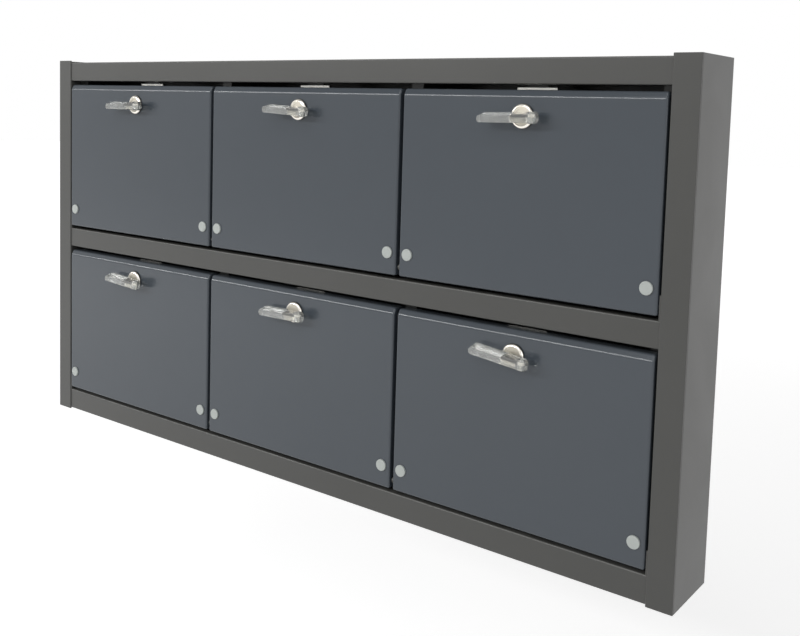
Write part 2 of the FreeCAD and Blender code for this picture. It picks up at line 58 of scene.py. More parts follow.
Color = tuple[float, float, float]
OpaqueColor = tuple[float, float, float, float]
Triple = tuple[float, float, float]

WHITE: Color = (1.0, 1.0, 1.0)


class Slot(Enum):
    """Material slots of the record."""

    FRAME = "frame_paint"
    DOOR = "door_lacquer"
    NYLON = "pale_nylon"
    NICKEL = "nickel"
    ZINC = "zinc_steel"
    KEY_STEEL = "key_steel"
    CLEAR = "clear_plastic"


class Socket(Enum):
    """Kinds of socket on a node group."""

    NUMBER = "NodeSocketFloat"
    COLOR = "NodeSocketColor"
    VECTOR = "NodeSocketVector"


class Span(NamedTuple):
    """A range of numbers, which may also run downwards."""

    start: float
    end: float


class Grain(NamedTuple):
    """Settings of one soft noise."""

    detail: float
    roughness: float
    distortion: float = 0.0


FULL = Span(0.0, 1.0)


def opaque(color: Color) -> OpaqueColor:
    """Return a colour with full alpha."""
    return (*color, 1.0)


@dataclass
class Wiring:
    """Adds nodes to one node tree and links them."""

    tree: bpy.types.NodeTree

    def node(self, kind: str, values: dict[str, object] | None = None, **settings: object) -> bpy.types.Node:
        """Add a node.

        Args:
            kind: Name of the node type.
            values: Values for unlinked input sockets, by socket name.
            settings: Properties of the node itself.

        Returns:
            The new node.
        """
        made = self.tree.nodes.new(kind)
        for name, value in settings.items():
            setattr(made, name, value)
        for name, value in (values or {}).items():
            made.inputs[name].default_value = value
        return made

    def join(self, source: bpy.types.NodeSocket, target: bpy.types.NodeSocket) -> None:
        """Link one socket to another."""
        self.tree.links.new(source, target)

    def feed(self, value: object, target: bpy.types.NodeSocket) -> None:
        """Link or set an input socket.

        Args:
            value: Socket to link, or plain value to set.
            target: Socket that takes it.
        """
        if isinstance(value, bpy.types.NodeSocket):
            self.join(value, target)
        else:
            target.default_value = value

    def math(self, operation: str, first: object, second: object) -> bpy.types.NodeSocket:
        """Combine two numbers.

        Args:
            operation: Name of the operation.
            first: First socket or number.
            second: Second socket or number.

        Returns:
            The socket with the result.
        """
        made = self.node("ShaderNodeMath", operation=operation)
        self.feed(first, made.inputs[0])
        self.feed(second, made.inputs[1])
        return made.outputs[0]

    def ramp(self, source: bpy.types.NodeSocket, span: Span, result: Span = FULL) -> bpy.types.NodeSocket:
        """Map a number smoothly from one range to another, held at both ends.

        Args:
            source: Socket with the number.
            span: Range that is read.
            result: Range that it becomes.

        Returns:
            The socket with the result.
        """
        values = {"From Min": span.start, "From Max": span.end, "To Min": result.start, "To Max": result.end}
        made = self.node("ShaderNodeMapRange", values, interpolation_type="SMOOTHSTEP")
        self.join(source, made.inputs["Value"])
        return made.outputs["Result"]

    def blend(self, mask: bpy.types.NodeSocket, first: object, second: object) -> bpy.types.NodeSocket:
        """Mix two colours by a mask.

        Args:
            mask: Socket with the share of the second colour.
            first: Socket or opaque colour where the mask is 0.
            second: Socket or opaque colour where the mask is 1.

        Returns:
            The socket with the mixed colour.
        """
        made = self.node("ShaderNodeMix", data_type="RGBA")
        self.join(mask, made.inputs[MIX_SHARE])
        self.feed(first, made.inputs[MIX_FIRST])
        self.feed(second, made.inputs[MIX_SECOND])
        return made.outputs[MIX_RESULT]

    def spot(self) -> bpy.types.NodeSocket:
        """Return a socket with the place on the piece, in metres."""
        return self.node("ShaderNodeTexCoord").outputs["Object"]

    def axes(self, vector: bpy.types.NodeSocket) -> bpy.types.NodeOutputs:
        """Split a vector.

        Args:
            vector: Socket with the vector.

        Returns:
            The sockets X, Y and Z.
        """
        made = self.node("ShaderNodeSeparateXYZ")
        self.join(vector, made.inputs[0])
        return made.outputs

    def noise(self, vector: bpy.types.NodeSocket, scale: object, grain: Grain) -> bpy.types.NodeSocket:
        """Add a soft noise.

        Args:
            vector: Socket with the place at which it is read.
            scale: Socket or number with its cells in a metre.
            grain: Its other settings.

        Returns:
            The socket with the noise.
        """
        values = {"Detail": grain.detail, "Roughness": grain.roughness, "Distortion": grain.distortion}
        made = self.node("ShaderNodeTexNoise", values)
        self.join(vector, made.inputs["Vector"])
        self.feed(scale, made.inputs["Scale"])
        return made.outputs["Fac"]

    def swing(self, noise: bpy.types.NodeSocket, reach: object) -> bpy.types.NodeSocket:
        """Centre a noise on zero and stretch it to a reach, a socket or a number."""
        return self.math("MULTIPLY", self.math("SUBTRACT", noise, NOISE_MIDDLE), reach)


@dataclass(frozen=True)
class GroupSocket:
    """One named socket of a node group, with a default where not every finish sets it."""

    name: str
    kind: Socket
    default: object = None


class SharedGroup:
    """A shader node group that several finishes place with their own values."""

    name: ClassVar[str] = ""
    inputs: ClassVar[tuple[GroupSocket, ...]] = ()
    outputs: ClassVar[tuple[GroupSocket, ...]] = ()

    def __init__(self) -> None:
        """Make the group's tree, its sockets and its nodes."""
        self.tree = bpy.data.node_groups.new(self.name, "ShaderNodeTree")
        for direction, sockets in (("INPUT", self.inputs), ("OUTPUT", self.outputs)):
            for socket in sockets:
                made = self.tree.interface.new_socket(socket.name, in_out=direction,
                                                      socket_type=socket.kind.value)
                if socket.default is not None:
                    made.default_value = socket.default
        self.wiring = Wiring(self.tree)
        self.given = self.wiring.node("NodeGroupInput").outputs
        self.wanted = self.wiring.node("NodeGroupOutput").inputs
        self.wire()

    def wire(self) -> None:
        """Build the nodes between the sockets given to the group and those wanted from it."""
        raise NotImplementedError

    def place(self, wiring: Wiring, **values: object) -> bpy.types.NodeOutputs:
        """Add the group to a material.

        Args:
            wiring: Helper for the material's tree.
            values: Values of the group's inputs, by socket name.

        Returns:
            The outputs of the group node.
        """
        return wiring.node("ShaderNodeGroup", values, node_tree=self.tree).outputs


class ToneDrift(SharedGroup):
    """Slow drift of a coat's tone over a hand's breadth, as on any sprayed panel."""

    name = "tone_drift"
    inputs = (GroupSocket("Color", Socket.COLOR), GroupSocket("Scale", Socket.NUMBER),
              GroupSocket("Depth", Socket.NUMBER))
    outputs = (GroupSocket("Color", Socket.COLOR),)
    broad_grain = Grain(detail=2.0, roughness=0.5)
    broad_share = 1.6
    fine_grain = Grain(detail=3.0, roughness=0.6)
    fine_share = 0.7
    fine_ratio = 9.0

    def wire(self) -> None:
        """Brighten and darken the colour with two sizes of soft noise."""
        wiring = self.wiring
        spot = wiring.spot()
        fine_scale = wiring.math("MULTIPLY", self.given["Scale"], self.fine_ratio)
        broad = wiring.swing(wiring.noise(spot, self.given["Scale"], self.broad_grain), self.broad_share)
        fine = wiring.swing(wiring.noise(spot, fine_scale, self.fine_grain), self.fine_share)
        drift = wiring.math("MULTIPLY", wiring.math("ADD", broad, fine), self.given["Depth"])
        shade = wiring.node("ShaderNodeHueSaturation")
        wiring.join(self.given["Color"], shade.inputs["Color"])
        wiring.join(wiring.math("ADD", drift, 1.0), shade.inputs["Value"])
        wiring.join(shade.outputs["Color"], self.wanted["Color"])


class FinePeel(SharedGroup):
    """Fine bumps of a coat that has flowed out: small rounded cells over slower waves."""

    name = "fine_peel"
    inputs = (GroupSocket("Scale", Socket.NUMBER), GroupSocket("Waves", Socket.NUMBER))
    outputs = (GroupSocket("Height", Socket.NUMBER),)
    cell_grain = Grain(detail=1.0, roughness=0.4)
    wave_grain = Grain(detail=1.0, roughness=0.5)
    wave_ratio = 0.12

    def wire(self) -> None:
        """Add a slow wave to a fine cell pattern."""
        wiring = self.wiring
        spot = wiring.spot()
        cells = wiring.noise(spot, self.given["Scale"], self.cell_grain)
        wave_scale = wiring.math("MULTIPLY", self.given["Scale"], self.wave_ratio)
        waves = wiring.noise(spot, wave_scale, self.wave_grain)
        slow = wiring.math("MULTIPLY", waves, self.given["Waves"])
        wiring.join(wiring.math("ADD", cells, slow), self.wanted["Height"])


class PatchyMask(SharedGroup):
    """A mask that noise breaks up into patches."""

    outputs = (GroupSocket("Mask", Socket.NUMBER),)
    patch_grain: ClassVar[Grain]
    patch_noise: ClassVar[Span]
    patch_share: ClassVar[Span]

    def break_up(self, mask: bpy.types.NodeSocket) -> None:
        """Put out a mask times soft patches times the amount.

        Args:
            mask: Socket with the whole mask.
        """
        wiring = self.wiring
        noise = wiring.noise(wiring.spot(), self.given["Scale"], self.patch_grain)
        patches = wiring.ramp(noise, self.patch_noise, self.patch_share)
        broken = wiring.math("MULTIPLY", mask, patches)
        wiring.join(wiring.math("MULTIPLY", broken, self.given["Amount"]), self.wanted["Mask"])


class RubbedEdgeAndHighlight(PatchyMask):
    """Where hands, cloths and keys have rubbed the edges of a piece, with painted highlight on the same
    edges.
    """

    name = "rubbed_edge"
    inputs = (GroupSocket("Radius", Socket.NUMBER), GroupSocket("Amount", Socket.NUMBER),
              GroupSocket("Scale", Socket.NUMBER, 60.0))
    patch_grain = Grain(detail=4.0, roughness=0.65)
    patch_noise = Span(0.35, 0.7)
    patch_share = Span(0.25, 1.0)
    edge_samples = 4
    edge_turn = Span(0.99, 0.80)

    def wire(self) -> None:
        """Compare the rounded normal with the true one."""
        wiring = self.wiring
        soft = wiring.node("ShaderNodeBevel", samples=self.edge_samples)
        wiring.join(self.given["Radius"], soft.inputs["Radius"])
        surface = wiring.node("ShaderNodeNewGeometry")
        match = wiring.node("ShaderNodeVectorMath", operation="DOT_PRODUCT")
        wiring.join(soft.outputs["Normal"], match.inputs[0])
        wiring.join(surface.outputs["Normal"], match.inputs[1])
        self.break_up(wiring.ramp(match.outputs["Value"], self.edge_turn))


class FoldHighlight(PatchyMask):
    """Painted highlight along folds that turn from the front to the top, lighter where they face the light
    above.
    """

    name = "worn_fold"
    inputs = (GroupSocket("Amount", Socket.NUMBER), GroupSocket("Scale", Socket.NUMBER, 35.0))
    patch_grain = Grain(detail=4.0, roughness=0.6)
    patch_noise = Span(0.3, 0.7)
    patch_share = Span(0.6, 1.0)
    upward_turn = Span(0.15, 0.5)
    forward_turn = Span(-0.15, -0.5)

    def wire(self) -> None:
        """Pick normals between front and up."""
        wiring = self.wiring
        way = wiring.axes(wiring.node("ShaderNodeNewGeometry").outputs["Normal"])
        upward = wiring.ramp(way["Z"], self.upward_turn)
        forward = wiring.ramp(way["Y"], self.forward_turn)
        self.break_up(wiring.math("MULTIPLY", upward, forward))


class SettledDust(PatchyMask):
    """Thin dust on faces that look up."""

    name = "settled_dust"
    inputs = (GroupSocket("Amount", Socket.NUMBER), GroupSocket("Scale", Socket.NUMBER, 40.0))
    patch_grain = Grain(detail=5.0, roughness=0.7)
    patch_noise = Span(0.3, 0.75)
    patch_share = Span(0.3, 1.0)
    upward_turn = Span(0.5, 1.0)

    def wire(self) -> None:
        """Pick normals that look up."""
        way = self.wiring.axes(self.wiring.node("ShaderNodeNewGeometry").outputs["Normal"])
        self.break_up(self.wiring.ramp(way["Z"], self.upward_turn))


class HandlingMarks(SharedGroup):
    """Gloss that wipes and fingers have made uneven."""

    name = "handling_marks"
    inputs = (GroupSocket("Scale", Socket.NUMBER), GroupSocket("Middle", Socket.NUMBER),
              GroupSocket("Spread", Socket.NUMBER))
    outputs = (GroupSocket("Roughness", Socket.NUMBER),)
    stroke_scale: Triple = (0.45, 1.0, 1.0)
    stroke_turn: Triple = (0.0, 0.35, 0.0)
    mark_grain = Grain(detail=4.0, roughness=0.55, distortion=0.8)
    mark_reach = 2.0

    def wire(self) -> None:
        """Warp a soft noise along wiping strokes and centre it on the middle value."""
        wiring = self.wiring
        stroke = wiring.node("ShaderNodeMapping", {"Scale": self.stroke_scale, "Rotation": self.stroke_turn})
        wiring.join(wiring.spot(), stroke.inputs["Vector"])
        marks = wiring.noise(stroke.outputs["Vector"], self.given["Scale"], self.mark_grain)
        swing = wiring.math("MULTIPLY", wiring.swing(marks, self.given["Spread"]), self.mark_reach)
        wiring.join(wiring.math("ADD", self.given["Middle"], swing), self.wanted["Roughness"])


class DrawnLines(SharedGroup):
    """Fine lines left by drawing, brushing or polishing a metal."""

    name = "drawn_lines"
    inputs = (GroupSocket("Stretch", Socket.VECTOR), GroupSocket("Scale", Socket.NUMBER))
    outputs = (GroupSocket("Height", Socket.NUMBER), GroupSocket("Tone", Socket.NUMBER))
    line_grain = Grain(detail=4.0, roughness=0.65)
    line_tone = Span(0.25, 0.75)

    def wire(self) -> None:
        """Stretch a fine noise along the lines."""
        wiring = self.wiring
        drawn = wiring.node("ShaderNodeMapping")
        wiring.join(wiring.spot(), drawn.inputs["Vector"])
        wiring.join(self.given["Stretch"], drawn.inputs["Scale"])
        lines = wiring.noise(drawn.outputs["Vector"], self.given["Scale"], self.line_grain)
        wiring.join(lines, self.wanted["Height"])
        wiring.join(wiring.ramp(lines, self.line_tone), self.wanted["Tone"])


class GroupShelf:
    """Holds each shared group once, made when it is first asked for."""

    def __init__(self) -> None:
        """Start with no groups made."""
        self.made: dict[type[SharedGroup], SharedGroup] = {}

    def get(self, kind: type[SharedGroup]) -> SharedGroup:
        """Find a shared group.

        Args:
            kind: Class of the group.

        Returns:
            The one group of that kind.
        """
        if kind not in self.made:
            self.made[kind] = kind()
        return self.made[kind]


def new_material(name: str) -> tuple[bpy.types.Material, Wiring, bpy.types.Node]:
    """Start a material with a bare shader.

    Args:
        name: Name of the material.

    Returns:
        The material, the helper for its tree and its shader.
    """
    material = bpy.data.materials.new(name)
    material.use_nodes = True
    wiring = Wiring(material.node_tree)
    shader = material.node_tree.nodes["Principled BSDF"]
    return material, wiring, shader


@dataclass(frozen=True, kw_only=True)
class Finish:
    """A surface with a drifting tone, an uneven gloss and fine bumps.

    Scales count cells in a metre. Heights, radii, lines, fades and depths are in metres.
    """

    slot: Slot
    color: Color
    drift_scale: float
    drift_depth: float
    rough_middle: float
    rough_spread: float
    rough_scale: float
    bump_scale: float
    bump_strength: float
    bump_height: float
    kind: ClassVar[str] = ""

    def build(self, shelf: GroupShelf) -> bpy.types.Material:
        """Make the material.

        Args:
            shelf: Shared node groups.

        Returns:
            The finished material.
        """
        material, wiring, shader = new_material(f"{self.slot.value}_{self.kind}")
        self.wire(shelf, wiring, shader)
        return material

    def wire(self, shelf: GroupShelf, wiring: Wiring, shader: bpy.types.Node) -> None:
        """Build the nodes that feed the shader.

        Args:
            shelf: Shared node groups.
            wiring: Helper for the material's tree.
            shader: Shader of the material.
        """
        raise NotImplementedError

    def tone(self, shelf: GroupShelf, wiring: Wiring) -> bpy.types.NodeSocket:
        """Place the tone drift.

        Args:
            shelf: Shared node groups.
            wiring: Helper for the material's tree.

        Returns:
            The socket with the drifting colour.
        """
        drift = shelf.get(ToneDrift).place(wiring, Color=opaque(self.color), Scale=self.drift_scale,
                                           Depth=self.drift_depth)
        return drift["Color"]

    def gloss(self, shelf: GroupShelf, wiring: Wiring) -> bpy.types.NodeSocket:
        """Place the handling marks.

        Args:
            shelf: Shared node groups.
            wiring: Helper for the material's tree.

        Returns:
            The socket with the uneven roughness.
        """
        marks = shelf.get(HandlingMarks).place(wiring, Scale=self.rough_scale, Middle=self.rough_middle,
                                               Spread=self.rough_spread)
        return marks["Roughness"]

    def add_bump(self, wiring: Wiring, shader: bpy.types.Node, height: bpy.types.NodeSocket) -> None:
        """Feed a height through a Bump node to the shader's normal.

        Args:
            wiring: Helper for the material's tree.
            shader: Shader that takes the normal.
            height: Socket with the height.
        """
        bump = wiring.node("ShaderNodeBump", {"Strength": self.bump_strength, "Distance": self.bump_height})
        wiring.join(height, bump.inputs["Height"])
        wiring.join(bump.outputs["Normal"], shader.inputs["Normal"])


@dataclass(frozen=True, kw_only=True)
class CoatFinish(Finish):
    """A sprayed coat with lighter edges that are partly wear and partly painted highlight, painted highlight
    on folds, settled dust and fine peel.
    """

    peel_waves: float
    edge_wear_and_highlight_color: Color
    edge_radius: float
    edge_amount: float
    fold_highlight_amount: float
    dust_color: Color
    dust_amount: float
    dust_dulling: float
    specular: float
    kind: ClassVar[str] = "coat"

    def wire(self, shelf: GroupShelf, wiring: Wiring, shader: bpy.types.Node) -> None:
        """Lay wear and painted highlight over the tone and dust over both.

        Args:
            shelf: Shared node groups.
            wiring: Helper for the material's tree.
            shader: Shader of the material.
        """
        edge = shelf.get(RubbedEdgeAndHighlight).place(wiring, Radius=self.edge_radius, Amount=self.edge_amount)
        # Painted highlight: folds that turn from front to top take the lighter edge colour.
        fold = shelf.get(FoldHighlight).place(wiring, Amount=self.fold_highlight_amount)
        dust = shelf.get(SettledDust).place(wiring, Amount=self.dust_amount)
        peel = shelf.get(FinePeel).place(wiring, Scale=self.bump_scale, Waves=self.peel_waves)
        # Edges and folds take a lighter colour: partly wear, partly painted highlight.
        wear_and_highlight = wiring.math("MAXIMUM", edge["Mask"], fold["Mask"])
        rubbed_and_lit = wiring.blend(wear_and_highlight, self.tone(shelf, wiring), opaque(self.edge_wear_and_highlight_color))
        dusty = wiring.blend(dust["Mask"], rubbed_and_lit, opaque(self.dust_color))
        wiring.join(dusty, shader.inputs["Base Color"])
        dull = wiring.math("MULTIPLY", dust["Mask"], self.dust_dulling)
        rough = wiring.math("ADD", self.gloss(shelf, wiring), dull)
        wiring.join(rough, shader.inputs["Roughness"])
        shader.inputs["Specular IOR Level"].default_value = self.specular
        self.add_bump(wiring, shader, peel["Height"])


@dataclass(frozen=True, kw_only=True)
class MetalFinish(Finish):
    """A bare or plated metal with drawn lines."""

    stretch: Triple
    kind: ClassVar[str] = "metal"

    def lines(self, shelf: GroupShelf, wiring: Wiring) -> bpy.types.NodeOutputs:
        """Place the drawn lines and return their height and tone."""
        return shelf.get(DrawnLines).place(wiring, Stretch=self.stretch, Scale=self.bump_scale)

    def wire(self, shelf: GroupShelf, wiring: Wiring, shader: bpy.types.Node) -> None:
        """Let the lines show in the gloss and in the bumps.

        Args:
            shelf: Shared node groups.
            wiring: Helper for the material's tree.
            shader: Shader of the material.
        """
        lines = self.lines(shelf, wiring)
        wiring.join(self.tone(shelf, wiring), shader.inputs["Base Color"])
        streaks = wiring.math("MULTIPLY", lines["Tone"], self.rough_spread)
        rough = wiring.math("ADD", self.gloss(shelf, wiring), streaks)
        wiring.join(rough, shader.inputs["Roughness"])
        shader.inputs["Metallic"].default_value = 1.0
        self.add_bump(wiring, shader, lines["Height"])


@dataclass(frozen=True, kw_only=True)
class KeeperShadeFinish(MetalFinish):
    """Keepers coated dark as painted shade for the gap behind the rail, their lips bare bright metal."""

    lip_color: Color
    lip_line: float
    lip_fade: float
    kind: ClassVar[str] = "keeper"

    def wire(self, shelf: GroupShelf, wiring: Wiring, shader: bpy.types.Node) -> None:
        """Bare the metal in front of the lip line; the dark tone behind it is painted shade.

        Args:
            shelf: Shared node groups.
            wiring: Helper for the material's tree.
            shader: Shader of the material.
        """
        depth = wiring.axes(wiring.spot())["Y"]
        lip = wiring.ramp(depth, Span(self.lip_line, self.lip_line - self.lip_fade))
        # Painted shade: the leg behind the lip line takes the dark tone, and only the lip stays bare metal.
        shaded_leg_bare_lip = wiring.blend(lip, self.tone(shelf, wiring), opaque(self.lip_color))
        wiring.join(shaded_leg_bare_lip, shader.inputs["Base Color"])
        wiring.join(lip, shader.inputs["Metallic"])
        wiring.join(self.gloss(shelf, wiring), shader.inputs["Roughness"])
        self.add_bump(wiring, shader, self.lines(shelf, wiring)["Height"])


@dataclass(frozen=True, kw_only=True)
class LockFinish(MetalFinish):
    """Plated lock housing: bright rounded rim, satin face that keys rub, side wall against the door darkened
    as painted shade.
    """

    face_color: Color
    face_rough: float
    face_turn: Span
    wall_shade_color: Color
    wall_turn: Span
    wall_line: float
    wall_fade: float
    kind: ClassVar[str] = "lock"

    def wire(self, shelf: GroupShelf, wiring: Wiring, shader: bpy.types.Node) -> None:
        """Tell the face from the rim and the wall by the way each one looks.

        Args:
            shelf: Shared node groups.
            wiring: Helper for the material's tree.
            shader: Shader of the material.
        """
        way = wiring.axes(wiring.node("ShaderNodeNewGeometry").outputs["True Normal"])
        depth = wiring.axes(wiring.spot())["Y"]
        face = wiring.ramp(way["Y"], self.face_turn)
        turned = wiring.ramp(way["Y"], self.wall_turn)
        outside = wiring.ramp(depth, Span(self.wall_line, self.wall_line - self.wall_fade))
        # Painted shade: the side wall near the door takes a dark colour.
        wall = wiring.math("MULTIPLY", turned, outside)
        plated = wiring.blend(face, self.tone(shelf, wiring), opaque(self.face_color))
        wall_shaded = wiring.blend(wall, plated, opaque(self.wall_shade_color))
        wiring.join(wall_shaded, shader.inputs["Base Color"])
        satin = wiring.math("MULTIPLY", face, self.face_rough - self.rough_middle)
        rough = wiring.math("ADD", self.gloss(shelf, wiring), satin)
        wiring.join(rough, shader.inputs["Roughness"])
        shader.inputs["Metallic"].default_value = 1.0
        self.add_bump(wiring, shader, self.lines(shelf, wiring)["Height"])


@dataclass(frozen=True, kw_only=True)
class MouldedFinish(Finish):
    """A moulded plastic with faint clouding and the flow of the mould."""

    flow_waves: float
    kind: ClassVar[str] = "moulding"

    def wire(self, shelf: GroupShelf, wiring: Wiring, shader: bpy.types.Node) -> None:
        """Feed tone, gloss and flow to the shader.

        Args:
            shelf: Shared node groups.
            wiring: Helper for the material's tree.
            shader: Shader of the material.
        """
        flow = shelf.get(FinePeel).place(wiring, Scale=self.bump_scale, Waves=self.flow_waves)
        wiring.join(self.tone(shelf, wiring), shader.inputs["Base Color"])
        wiring.join(self.gloss(shelf, wiring), shader.inputs["Roughness"])
        self.add_bump(wiring, shader, flow["Height"])


@dataclass(frozen=True, kw_only=True)
class NylonFinish(MouldedFinish):
    """Pale moulded nylon that lets a little light in."""

    scatter: float
    scatter_depth: float

    def wire(self, shelf: GroupShelf, wiring: Wiring, shader: bpy.types.Node) -> None:
        """Add an even scatter below the surface.

        Args:
            shelf: Shared node groups.
            wiring: Helper for the material's tree.
            shader: Shader of the material.
        """
        super().wire(shelf, wiring, shader)
        shader.inputs["Subsurface Weight"].default_value = self.scatter
        shader.inputs["Subsurface Radius"].default_value = WHITE
        shader.inputs["Subsurface Scale"].default_value = self.scatter_depth


@dataclass(frozen=True, kw_only=True)
class ClearFinish(MouldedFinish):
    """Clear plastic that moulding and pockets have left a little milky."""

    index: float
    clearness: float

    def wire(self, shelf: GroupShelf, wiring: Wiring, shader: bpy.types.Node) -> None:
        """Let the light through.

        Args:
            shelf: Shared node groups.
            wiring: Helper for the material's tree.
            shader: Shader of the material.
        """
        super().wire(shelf, wiring, shader)
        shader.inputs["IOR"].default_value = self.index
        shader.inputs["Transmission Weight"].default_value = self.clearness


# The lighter edge colour of frame and doors is partly wear and partly painted highlight; the frame's folds
# take it as painted highlight.
FRAME_PAINT = CoatFinish(
    slot=Slot.FRAME, color=(0.066, 0.066, 0.062), drift_scale=5.0, drift_depth=0.10,
    rough_middle=0.34, rough_spread=0.08, rough_scale=12.0, specular=0.40,
    bump_scale=1100.0, bump_strength=0.22, bump_height=0.05 * MM, peel_waves=0.6,
    edge_wear_and_highlight_color=(0.20, 0.20, 0.19), edge_radius=0.9 * MM, edge_amount=0.35, fold_highlight_amount=0.6,
    dust_color=(0.30, 0.29, 0.27), dust_amount=0.16, dust_dulling=0.5)
DOOR_LACQUER = CoatFinish(
    slot=Slot.DOOR, color=(0.055, 0.066, 0.079), drift_scale=4.0, drift_depth=0.07,
    rough_middle=0.21, rough_spread=0.04, rough_scale=12.0, specular=0.45,
    bump_scale=650.0, bump_strength=0.12, bump_height=0.04 * MM, peel_waves=0.8,
    edge_wear_and_highlight_color=(0.10, 0.112, 0.125), edge_radius=1.2 * MM, edge_amount=0.22, fold_highlight_amount=0.0,
    dust_color=(0.26, 0.26, 0.26), dust_amount=0.12, dust_dulling=0.5)
PALE_NYLON = NylonFinish(
    slot=Slot.NYLON, color=(0.465, 0.495, 0.473), drift_scale=60.0, drift_depth=0.08,
    rough_middle=0.46, rough_spread=0.08, rough_scale=90.0,
    bump_scale=2600.0, bump_strength=0.2, bump_height=0.03 * MM, flow_waves=0.4,
    scatter=0.25, scatter_depth=0.8 * MM)
# The lock's dark wall colour is painted shade where the collar meets the door.
NICKEL = LockFinish(
    slot=Slot.NICKEL, color=(0.80, 0.77, 0.71), drift_scale=70.0, drift_depth=0.05,
    rough_middle=0.12, rough_spread=0.05, rough_scale=160.0,
    bump_scale=2400.0, bump_strength=0.05, bump_height=0.02 * MM, stretch=(1.0, 0.2, 0.6),
    face_color=(0.48, 0.45, 0.385), face_rough=0.42, face_turn=Span(-0.96, -0.995),
    wall_shade_color=(0.10, 0.096, 0.092), wall_turn=Span(-0.60, -0.25), wall_line=-69.5 * MM, wall_fade=0.5 * MM)
# The keepers' dark tone is painted shade in the gap behind the rail.
KEEPERS = KeeperShadeFinish(
    slot=Slot.ZINC, color=(0.060, 0.060, 0.057), drift_scale=45.0, drift_depth=0.12,
    rough_middle=0.40, rough_spread=0.06, rough_scale=110.0,
    bump_scale=1500.0, bump_strength=0.10, bump_height=0.03 * MM, stretch=(0.06, 1.0, 1.0),
    lip_color=(0.93, 0.92, 0.87), lip_line=-47.0 * MM, lip_fade=0.3 * MM)
ZINC = MetalFinish(
    slot=Slot.ZINC, color=(0.66, 0.66, 0.63), drift_scale=45.0, drift_depth=0.14,
    rough_middle=0.34, rough_spread=0.08, rough_scale=110.0,
    bump_scale=1500.0, bump_strength=0.15, bump_height=0.03 * MM, stretch=(0.06, 1.0, 1.0))
KEY_STEEL = MetalFinish(
    slot=Slot.KEY_STEEL, color=(0.70, 0.67, 0.62), drift_scale=80.0, drift_depth=0.07,
    rough_middle=0.22, rough_spread=0.06, rough_scale=150.0,
    bump_scale=2600.0, bump_strength=0.12, bump_height=0.02 * MM, stretch=(1.0, 0.05, 1.0))
CLEAR_PLASTIC = ClearFinish(
    slot=Slot.CLEAR, color=(0.85, 0.86, 0.83), drift_scale=70.0, drift_depth=0.06,
    rough_middle=0.18, rough_spread=0.04, rough_scale=120.0,
    bump_scale=420.0, bump_strength=0.12, bump_height=0.05 * MM, flow_waves=0.4,
    index=1.49, clearness=0.84)


@dataclass
class Finishes:
    """The locker's materials, one for each slot and one for the keepers."""

    shelf: GroupShelf

    def __post_init__(self) -> None:
        """Build each finish once."""
        kinds = (FRAME_PAINT, DOOR_LACQUER, PALE_NYLON, NICKEL, ZINC, KEY_STEEL, CLEAR_PLASTIC)
        self.by_slot = {kind.slot: kind.build(self.shelf) for kind in kinds}
        self.by_node = {"lock_keepers": KEEPERS.build(self.shelf)}

    def dress(self, piece: bpy.types.Object, slot: Slot) -> None:
        """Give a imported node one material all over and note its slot.

        Args:
            piece: Object of the node.
            slot: Material slot of the record.
        """
        material = self.by_node.get(piece.name, self.by_slot[slot])
        for holder in piece.material_slots:
            holder.material = material
        LOG.info("%s takes %s", piece.name, slot.value)


@dataclass
class Carcass:
    """The steel cabinet that stays on the wall."""

    finishes: Finishes

    def build(self) -> None:
        """Dress every fixed node with the finish that its slot asks for."""
        fixed = frame["record"]["behaviour"]["bodies"]["cabinet"]
        for part in frame["record"]["subparts"]:
            if part["node"] in fixed:
                self.finishes.dress(frame["nodes"][part["node"]], Slot(part["material_slot"]))


@dataclass
class Door:
    """One drop-down door with its lock and key."""

    number: int
    finishes: Finishes

    def build(self) -> None:
        """Dress every node that moves with this door."""
        ending = f"_{self.number}"
        for part in frame["record"]["subparts"]:
            if part["node"].endswith(ending):
                self.finishes.dress(frame["nodes"][part["node"]], Slot(part["material_slot"]))


@dataclass(frozen=True)
class AreaLamp:
    """One soft lamp, in metres and watts."""

    name: str
    place: Triple
    aim: Triple
    width: float
    height: float
    power: float

    def build(self) -> None:
        """Hang the lamp and point it."""
        light = bpy.data.lights.new(self.name, "AREA")
        light.shape = "RECTANGLE"
        light.size = self.width
        light.size_y = self.height
        light.energy = self.power
        lamp = bpy.data.objects.new(self.name, light)
        lamp.location = self.place
        way = Vector(self.aim) - Vector(self.place)
        lamp.rotation_euler = way.to_track_quat("-Z", "Y").to_euler()
        bpy.context.scene.collection.objects.link(lamp)


@dataclass(frozen=True)
class Viewpoint:
    """The camera of the photograph, in metres and degrees."""

    lens: float = 43.774
    shift_x: float = 0.00525
    shift_y: float = -0.15634
    eye: Triple = (0.65608, -0.77811, 0.16594)
    yaw: float = 37.0336
    pitch: float = 4.8084
    roll: float = -1.6435

    def build(self) -> None:
        """Stand the camera where the photograph was taken."""
        data = bpy.data.cameras.new("camera")
        data.lens = self.lens
        data.shift_x = self.shift_x
        data.shift_y = self.shift_y
        yaw, pitch, roll = (math.radians(angle) for angle in (self.yaw, self.pitch, self.roll))
        ahead = Vector((-math.sin(yaw) * math.cos(pitch), math.cos(yaw) * math.cos(pitch), -math.sin(pitch)))
        level = Vector((math.cos(yaw), math.sin(yaw), 0.0))
        down = ahead.cross(level)
        right = math.cos(roll) * level + math.sin(roll) * down
        up = math.sin(roll) * level - math.cos(roll) * down
        turn = Matrix((right, up, -ahead)).transposed().to_4x4()
        camera = bpy.data.objects.new("camera", data)
        camera.matrix_world = Matrix.Translation(self.eye) @ turn
        bpy.context.scene.collection.objects.link(camera)
        bpy.context.scene.camera = camera


